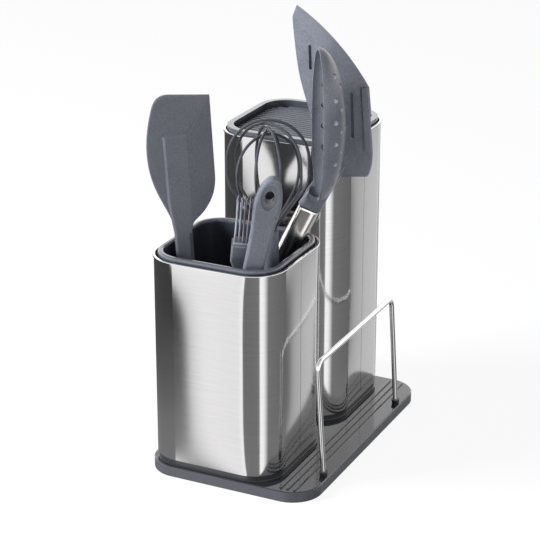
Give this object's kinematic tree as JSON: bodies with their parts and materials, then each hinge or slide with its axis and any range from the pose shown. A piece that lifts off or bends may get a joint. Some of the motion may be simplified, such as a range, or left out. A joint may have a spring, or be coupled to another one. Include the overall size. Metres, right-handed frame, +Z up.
{
  "type": "kitchen tool and knife organiser",
  "caption": "Worktop stand with a short jar of cooking tools, a tall slatted knife block and a wire rack for boards.",
  "frame": {"origin": "middle of the tray's outline, on its flat underside, which stands on the worktop", "axes": "+X towards the board rack, +Y from the jar to the knife block, +Z up"},
  "size_m": [0.145, 0.2242, 0.3502],
  "materials": {
    "base_plastic": "glossy dark grey plastic",
    "foot_rubber": "matt",
    "rack_chrome": "polished wire",
    "ferrule_rubber": "satin black",
    "sleeve_steel": "fine vertical brushing",
    "liner_plastic": "satin",
    "collar_plastic": "semi-gloss",
    "slat_plastic": "satin",
    "soft_silicone": "matt silicone",
    "bristle_silicone": "matt silicone",
    "tool_plastic": "satin nylon",
    "wire_coating": "coated wire",
    "handle_steel": "polished"
  },
  "bodies": {
    "stand": {"base_tray": "base_plastic", "base_feet": "foot_rubber", "rack_wire": "rack_chrome", "rack_ferrules": "ferrule_rubber"},
    "jar": {"jar_sleeve": "sleeve_steel", "jar_bottom": "base_plastic"},
    "liner": {"jar_liner": "liner_plastic"},
    "spatula": {"spatula_head": "soft_silicone", "spatula_handle": "handle_steel"},
    "brush": {"brush_bristles": "bristle_silicone", "brush_head": "tool_plastic", "brush_handle": "handle_steel"},
    "small_tool": {"small_tool_handle": "tool_plastic", "small_tool_blade": "handle_steel"},
    "whisk": {"whisk_wires": "wire_coating", "whisk_handle": "tool_plastic"},
    "spoon": {"spoon_head": "tool_plastic", "spoon_handle": "handle_steel"},
    "turner": {"turner_head": "tool_plastic", "turner_handle": "handle_steel"},
    "knife_block": {"knife_sleeve": "sleeve_steel", "knife_bottom": "base_plastic", "knife_collar": "collar_plastic"},
    "cassette": {"knife_cassette": "liner_plastic", "knife_slats": "slat_plastic"}
  },
  "joints": [
    {"name": "jar_lift", "type": "slide", "parent": "stand", "child": "jar", "axis": [0, 0, 1], "range_m": [0, 0.06]},
    {"name": "liner_lift", "type": "slide", "parent": "jar", "child": "liner", "axis": [0, 0, 1], "range_m": [0, 0.06]},
    {"name": "knife_block_lift", "type": "slide", "parent": "stand", "child": "knife_block", "axis": [0, 0, 1], "range_m": [0, 0.05]},
    {"name": "cassette_lift", "type": "slide", "parent": "knife_block", "child": "cassette", "axis": [0, 0, 1], "range_m": [0, 0.1]},
    {"name": "spatula_lift", "type": "slide", "parent": "liner", "child": "spatula", "axis": [-0.096, 0.0272, 0.995], "range_m": [0, 0.09]},
    {"name": "brush_lift", "type": "slide", "parent": "liner", "child": "brush", "axis": [0.1631, -0.1254, 0.9786], "range_m": [0, 0.04]},
    {"name": "small_tool_lift", "type": "slide", "parent": "liner", "child": "small_tool", "axis": [0.2362, -0.0308, 0.9712], "range_m": [0, 0.06]},
    {"name": "whisk_lift", "type": "slide", "parent": "liner", "child": "whisk", "axis": [-0.0655, 0.0933, 0.9935], "range_m": [0, 0.06]},
    {"name": "spoon_lift", "type": "slide", "parent": "liner", "child": "spoon", "axis": [0.4075, 0.1599, 0.8991], "range_m": [0, 0.06]},
    {"name": "turner_lift", "type": "slide", "parent": "liner", "child": "turner", "axis": [0.3972, 0.1638, 0.903], "range_m": [0, 0.02]}
  ]
}
